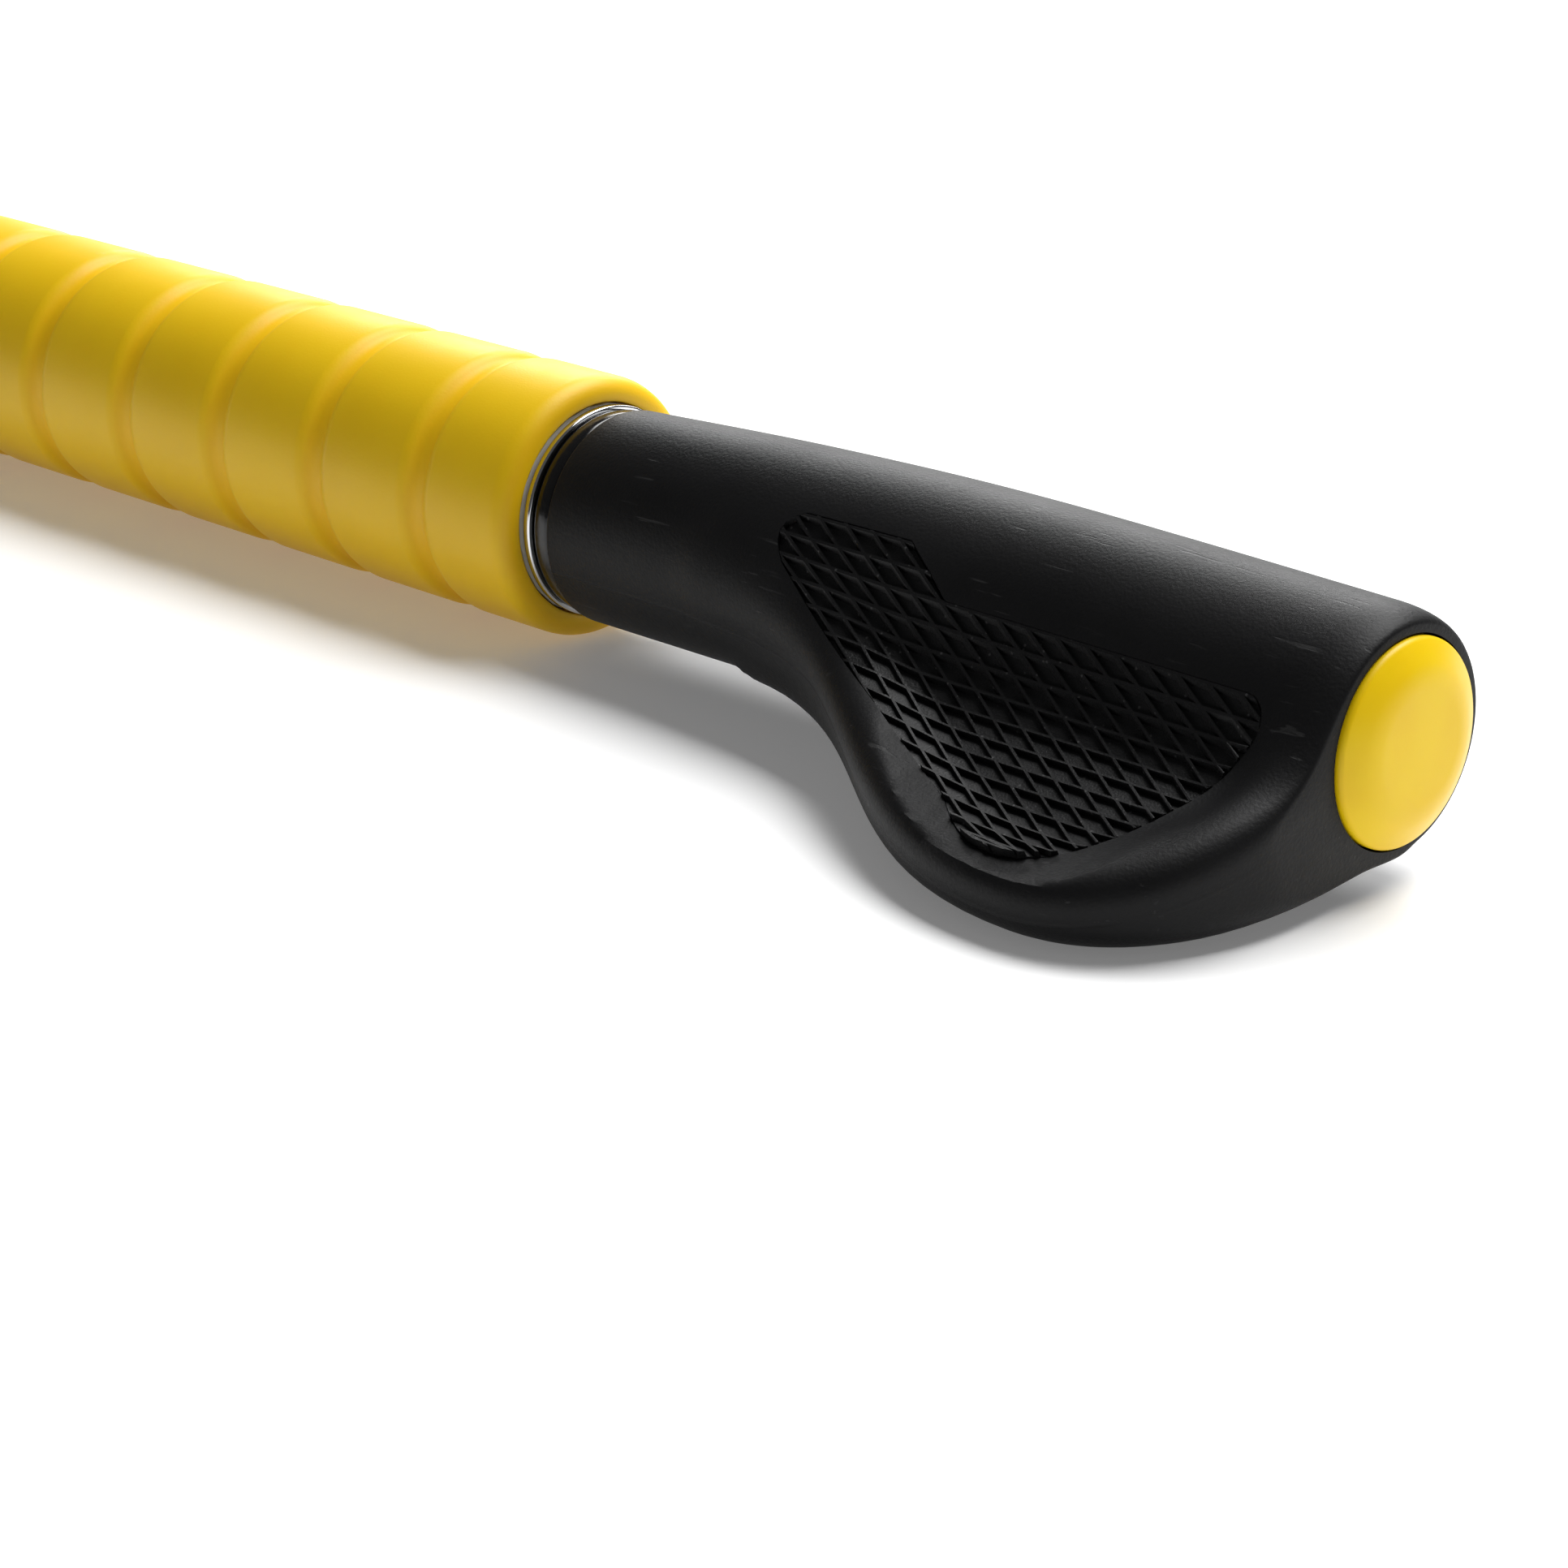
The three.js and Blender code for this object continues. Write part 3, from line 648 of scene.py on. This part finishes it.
def end_inset(along):
    """How far the skin is drawn in where the grip's two ends are rounded."""
    outer = max(along - (GRIP_LENGTH - GRIP_SHOULDER), 0) / GRIP_SHOULDER
    inner = max(RUBBER_START + GRIP_START_CORNER - along, 0) / GRIP_START_CORNER
    outer_inset = SHOULDER_DROP * (1 - math.sqrt(max(1 - outer**2, 0)))
    return outer_inset + GRIP_START_CORNER * (1 - math.sqrt(max(1 - inner**2, 0)))


def half_section(along, side):
    """Points (out, up) of the skin from the wing's edge to the back, over it (1) or under it (-1)."""
    reach = np.arange(0, 1.3 * WING_REACH, SAMPLE_STEP)
    angle = np.pi * np.linspace(0, 1, SAMPLE_ANGLES)[:, None] ** 1.6  # closest at the wing's edge
    across = np.arange(-1.5 * BARREL_WIDEST_RADIUS, 1.3 * WING_REACH, SAMPLE_STEP)
    edges = outside(WING, np.full_like(across, along), across)
    out, up = reach * np.cos(angle), side * reach * np.sin(angle)
    level = grip_distance(along, out, up, np.interp(out, across, edges))
    level = level + end_inset(along) + SKIN_DEPTH
    after = np.argmax(level >= 0, axis=1)
    rows = np.arange(len(after))
    before = after - 1
    share = level[rows, before] / (level[rows, before] - level[rows, after])
    r = reach[before] + share * (reach[after] - reach[before])
    points = np.stack([r * np.cos(angle[:, 0]), side * r * np.sin(angle[:, 0])], 1)
    run = np.concatenate([[0], np.cumsum(np.hypot(*np.diff(points, axis=0).T))])
    stops = np.linspace(2 * SAMPLE_STEP, run[-1], HALF_RING - 2)
    stops = np.concatenate([[0, SAMPLE_STEP], stops])
    return np.stack([np.interp(stops, run, points[:, 0]), np.interp(stops, run, points[:, 1])], 1)


def whole_ring(along):
    """The grip's section as one ring of points, with the parting line raised at the wing's edge."""
    ring = np.concatenate([half_section(along, 1), half_section(along, -1)[-2:0:-1]])
    ring[0, 0] += PARTING_HEIGHT
    return ring


def grip_rings():
    """(along, ring of (out, up) points) down the outside of the grip and back up its bore."""
    plain = (RUBBER_START + GRIP_START_CORNER, GRIP_LENGTH - GRIP_SHOULDER)
    places = list(np.linspace(*plain, GRIP_STATIONS))
    for i in range(END_STATIONS):
        turn = (i + 1) / END_STATIONS * math.pi / 2
        places.insert(0, RUBBER_START + GRIP_START_CORNER * (1 - math.sin(turn)))
        places.append(GRIP_LENGTH - GRIP_SHOULDER * (1 - math.sin(turn)))
    rings = [(along, whole_ring(along)) for along in places]
    last = rings[-1][1]
    bore = last / np.hypot(*last.T)[:, None] * RUBBER_BORE
    length = GRIP_LENGTH - RUBBER_START
    back = [(GRIP_LENGTH - i / BORE_STATIONS * length, bore) for i in range(BORE_STATIONS + 1)]
    return rings + back


def grip_skin(rings):
    """The rings joined into one closed tube: a grid, rolled up both ways."""
    around = len(rings[0][1])
    bm = bmesh.new()
    bmesh.ops.create_grid(bm, x_segments=around, y_segments=len(rings), size=1)
    bm.verts.index_update()
    for vert in bm.verts:
        row, column = divmod(vert.index, around + 1)
        along, ring = rings[row % len(rings)]
        out, up = ring[column % around]
        vert.co = (along, -out, up)
    bmesh.ops.remove_doubles(bm, verts=bm.verts, dist=1e-6)
    bmesh.ops.recalc_face_normals(bm, faces=bm.faces)
    return bm


def palm_height(along, out, depth):
    """Height of the palm face above the wing's middle plane, a depth below the skin."""
    edge = outside(WING, along, out)
    heights = np.arange(PALM_TOP, -2 * SAMPLE_STEP, -SAMPLE_STEP)
    level = grip_distance(along[:, None], out[:, None], heights, edge[:, None]) + depth
    first = np.clip(np.argmax(level <= 0, axis=1), 1, None)
    rows = np.arange(len(first))
    above, below = level[rows, first - 1], level[rows, first]
    share = np.clip(above / (above - below), 0, 1)
    found = heights[first - 1] + share * (heights[first] - heights[first - 1])
    return np.where((level <= 0).any(1), found, 0)


def drape(bm, depth):
    """Lays a flat shape over the palm face: each point keeps its own height above that face."""
    flat = np.array([v.co for v in bm.verts])
    height = palm_height(flat[:, 0], -flat[:, 1], depth)
    for vert, h in zip(bm.verts, height):
        vert.co.z += h


# ---------------------------------------------------------------- pad and its pocket


def pad_outline():
    """The pad seen from above: a narrow end, a step, a long straight edge and a round tip."""
    end = GRIP_LENGTH - PAD_END_MARGIN
    start = end - PAD_LENGTH
    tip = WING_REACH - PAD_TIP_MARGIN
    corner = PAD_CORNER
    step = start + PAD_NARROW_LENGTH

    def bend(*points, steps=10):
        return interpolate_bezier(*(Vector(p) for p in points), steps)[:-1]

    def quad(a, b, c):
        a, b, c = Vector(a), Vector(b), Vector(c)
        return bend(a, a + (b - a) * 2 / 3, c + (b - c) * 2 / 3, c, steps=7)

    round_start = (start + corner, PAD_NARROW_EDGE)
    after_long = (end, PAD_LONG_EDGE + corner)
    far_side = (end - 0.035 * PAD_LENGTH, 0.5 * tip)
    under = (end - 0.22 * PAD_LENGTH, tip)
    near_side = (end - 0.32 * PAD_LENGTH, 0.95 * tip)
    slope_end = (end - 0.375 * PAD_LENGTH, 0.86 * tip)
    slope_start = (start + corner, PAD_NARROW_EDGE + 1.85 * corner)
    return [
        Vector(round_start),
        Vector((step, PAD_NARROW_EDGE)),
        Vector((step + PAD_STEP_RUN, PAD_LONG_EDGE)),
        *quad((end - corner, PAD_LONG_EDGE), (end, PAD_LONG_EDGE), after_long),
        *bend(after_long, far_side, (end - 0.09 * PAD_LENGTH, tip), under),
        *bend(under, (end - 0.28 * PAD_LENGTH, tip), near_side, slope_end),
        Vector(slope_end),
        *quad(slope_start, (start - 0.7 * corner, PAD_NARROW_EDGE + 0.7 * corner), round_start),
    ]


def pad_prism(margin):
    """A block of the pad's outline, grown by a margin, standing right through the wing."""
    bm = bmesh.new()
    points = pad_outline()
    count = len(points)
    verts = []
    for i, p in enumerate(points):
        run = (points[(i + 1) % count] - points[i - 1]).normalized()
        grown = p + Vector((run.y, -run.x)) * margin
        verts.append(bm.verts.new((grown.x, -grown.y, -WING_TIP_HALF / 2)))
    face = bm.faces.new(verts)
    top = bmesh.ops.extrude_face_region(bm, geom=[face])
    moved = [g for g in top["geom"] if isinstance(g, bmesh.types.BMVert)]
    bmesh.ops.translate(bm, verts=moved, vec=(0, 0, 2 * BARREL_WIDEST_RADIUS))
    bmesh.ops.recalc_face_normals(bm, faces=bm.faces)
    return to_object("pad_prism", bm)


def pad_area():
    """Corners of the rectangle round the pad, a little larger."""
    xs, ys = zip(*pad_outline())
    low_x, low_y = min(xs) - PAD_SURROUND, min(ys) - PAD_SURROUND
    return low_x, max(xs) + PAD_SURROUND, low_y, max(ys) + PAD_SURROUND


def close_below(bm, depth):
    """Gives a sheet straight sides and a flat bottom, so that it is a block."""
    rim = [e for e in bm.edges if e.is_boundary]
    skirt = bmesh.ops.extrude_edge_only(bm, edges=rim)["geom"]
    for vert in (g for g in skirt if isinstance(g, bmesh.types.BMVert)):
        vert.co.z = depth
    bmesh.ops.holes_fill(bm, edges=[e for e in bm.edges if e.is_boundary], sides=0)
    bmesh.ops.recalc_face_normals(bm, faces=bm.faces)


def floor_block(depth, lift):
    """Everything below the pocket's floor, or below the pad, which is the same surface lifted."""
    x0, x1, y0, y1 = pad_area()
    bm = bmesh.new()
    bmesh.ops.create_grid(bm, x_segments=64, y_segments=36, size=0.5)
    size = Matrix.Diagonal((x1 - x0, y1 - y0, 1, 1))
    middle = Matrix.Translation(((x0 + x1) / 2, -(y0 + y1) / 2, 0))
    bmesh.ops.transform(bm, matrix=middle @ size, verts=bm.verts)
    drape(bm, depth)
    bmesh.ops.translate(bm, verts=bm.verts, vec=(0, 0, lift))
    close_below(bm, FLOOR_BASE)
    return to_object("floor_block", bm)


def palm_run():
    """Distances out from the axis, and the run over the palm face's curve up to each of them.

    The run is counted so that the two agree at the outermost place.
    """
    _, _, y0, y1 = pad_area()
    out = np.linspace(y0 - CELL_WIDTH, y1 + CELL_WIDTH, 200)
    height = palm_height(np.full_like(out, WING_TIP_AT - WING_TIP_INSET), out, 0)
    run = np.concatenate([[0], np.cumsum(np.hypot(np.diff(out), np.diff(height)))])
    return out, run + out[-1] - run[-1]


def lattice_block():
    """The pad's ribbed face: slanting cells sunk between thin ridges, laid over the palm face."""
    x0, x1, y0, y1 = pad_area()
    out, run = palm_run()
    y0, y1 = np.interp((y0, y1), out, run)
    rows = math.ceil((y1 - y0) / CELL_WIDTH)
    columns = math.ceil((x1 - x0 + rows * CELL_SHIFT) / CELL_LENGTH)
    bm = bmesh.new()
    bmesh.ops.create_grid(bm, x_segments=columns, y_segments=rows, size=0.5)
    skew = Matrix(
        (
            (columns * CELL_LENGTH, -rows * CELL_SHIFT, 0, (x0 + x1) / 2),
            (0, rows * CELL_WIDTH, 0, -(y0 + y1) / 2),
            (0, 0, 1, 0),
            (0, 0, 0, 1),
        )
    )
    bmesh.ops.transform(bm, matrix=skew, verts=bm.verts)
    for vert in bm.verts:
        vert.co.y = -np.interp(-vert.co.y, run, out)
    cells = list(bm.faces)
    for thickness, depth in ((RIDGE_HALF, 0), (RIDGE_FLANK, -RIDGE_HEIGHT)):
        bmesh.ops.inset_individual(
            bm, faces=cells, thickness=thickness, depth=depth, use_even_offset=True
        )
    drape(bm, PAD_RECESS)
    close_below(bm, LATTICE_BASE)
    return to_object("ribbed_block", bm)


def boolean(made, operation, tool):
    """Cuts or intersects one object with another, and keeps only the result."""
    step = made.modifiers.new(operation.lower(), "BOOLEAN")
    step.operation = operation
    step.solver = "EXACT"
    step.object = tool
    graph = bpy.context.evaluated_depsgraph_get()
    result = bpy.data.meshes.new_from_object(made.evaluated_get(graph))
    made.modifiers.clear()
    made.data = result
    bpy.data.objects.remove(tool)
    return made


def settle(made, name, side):
    """A mirrored or plain copy of a grip piece, in its place on the bar."""
    bm = bmesh.new()
    bm.from_mesh(made.data)
    bmesh.ops.dissolve_degenerate(bm, edges=bm.edges, dist=1e-6)
    place(bm, GRIP_AT, TILT, SIDES[side])
    return to_object(f"{name}_{side}", bm)


def grips():
    """The rubber with its pocket and the ribbed pad, drawn once and placed on both ends."""
    floor_depth = PAD_RECESS + PAD_THICKNESS + PAD_LIFT
    cutter = boolean(pad_prism(GAP), "DIFFERENCE", floor_block(floor_depth, 0))
    rubber = boolean(to_object("grip_blank", grip_skin(grip_rings())), "DIFFERENCE", cutter)
    pad = boolean(lattice_block(), "INTERSECT", pad_prism(PAD_FIT))
    pad = boolean(pad, "DIFFERENCE", floor_block(floor_depth, PAD_LIFT))
    for side in SIDES:
        fit(settle(rubber, "grip_rubber", side), "root", "black_rubber", f"grip_body_{side}")
        fit(settle(pad, "ribbed_pad", side), "root", "pad_rubber", f"grip_pad_{side}")
    bpy.data.objects.remove(rubber)
    bpy.data.objects.remove(pad)


# ---------------------------------------------------------------- table, lights and camera


def studio():
    """A pale table top, a dim white room, a softbox overhead and a low one behind."""
    bm = bmesh.new()
    bmesh.ops.create_grid(bm, x_segments=8, y_segments=8, size=4)
    floor = to_object("table_top", bm)
    white = (1, 1, 1, 1)
    f = Finish("pale_table", Roughness=0.6, Emission_Strength=TABLE_GLOW, Emission_Color=white)
    f.set("Base Color", f.mix(f.noise(0.6, 2), shade(244, 244, 244), shade(248, 248, 248)))
    floor.data.materials.append(f.material)

    world = bpy.data.worlds.new("soft_room")
    world.use_nodes = True
    background = world.node_tree.nodes["Background"]
    background.inputs["Color"].default_value = white
    background.inputs["Strength"].default_value = ROOM_LIGHT
    bpy.context.scene.world = world

    def softbox(name, at, aim, size, power):
        light = bpy.data.lights.new(name, "AREA")
        light.shape = "RECTANGLE"
        light.size, light.size_y = size
        light.energy = power
        lamp = bpy.data.objects.new(name, light)
        lamp.location = at
        lamp.rotation_euler = (Vector(aim) - Vector(at)).to_track_quat("-Z", "Y").to_euler()
        bpy.context.scene.collection.objects.link(lamp)

    middle = (GRIP_AT, LINE.y, LINE.z)
    softbox("overhead", (GRIP_AT + 0.1, 0.5, 0.95), middle, (0.9, 0.7), OVERHEAD_POWER)
    softbox("behind_left", (-0.4, 0.75, 0.42), middle, (0.6, 0.3), BEHIND_POWER)


def camera():
    """Looks along the bar from beyond the right grip, a little from above."""
    data = bpy.data.cameras.new("camera")
    data.lens = CAMERA_LENS
    data.sensor_width = 36
    data.clip_start = 0.01
    cam = bpy.data.objects.new("camera", data)
    cam.location = LINE + CAMERA_FROM_BAR
    level = math.cos(CAMERA_PITCH)
    look = Vector((level * math.cos(CAMERA_YAW), level * math.sin(CAMERA_YAW), math.sin(CAMERA_PITCH)))
    cam.rotation_euler = look.to_track_quat("-Z", "Y").to_euler()
    bpy.context.scene.collection.objects.link(cam)
    bpy.context.scene.camera = cam


bpy.context.scene.view_settings.view_transform = "Standard"
camera()
studio()
roller_sleeve()
for side in SIDES:
    washer(side)
    collar(side)
    end_plug(side)
grips()

# Pieces inside the bar stay as the frame has them, with a finish each.
HIDDEN = {
    "core_tube": "chromed_steel",
    "roller_carrier": "inner_plastic",
    "roller_bush": "inner_plastic",
    "retaining_clip": "spring_steel",
    "grip_core": "hard_black_plastic",
    "grip_pin": "spring_steel",
}
for node, made in frame["nodes"].items():
    kind = node.removesuffix("_right").removesuffix("_left")
    if kind in HIDDEN:
        made.data.materials.clear()
        made.data.materials.append(FINISHES[HIDDEN[kind]])
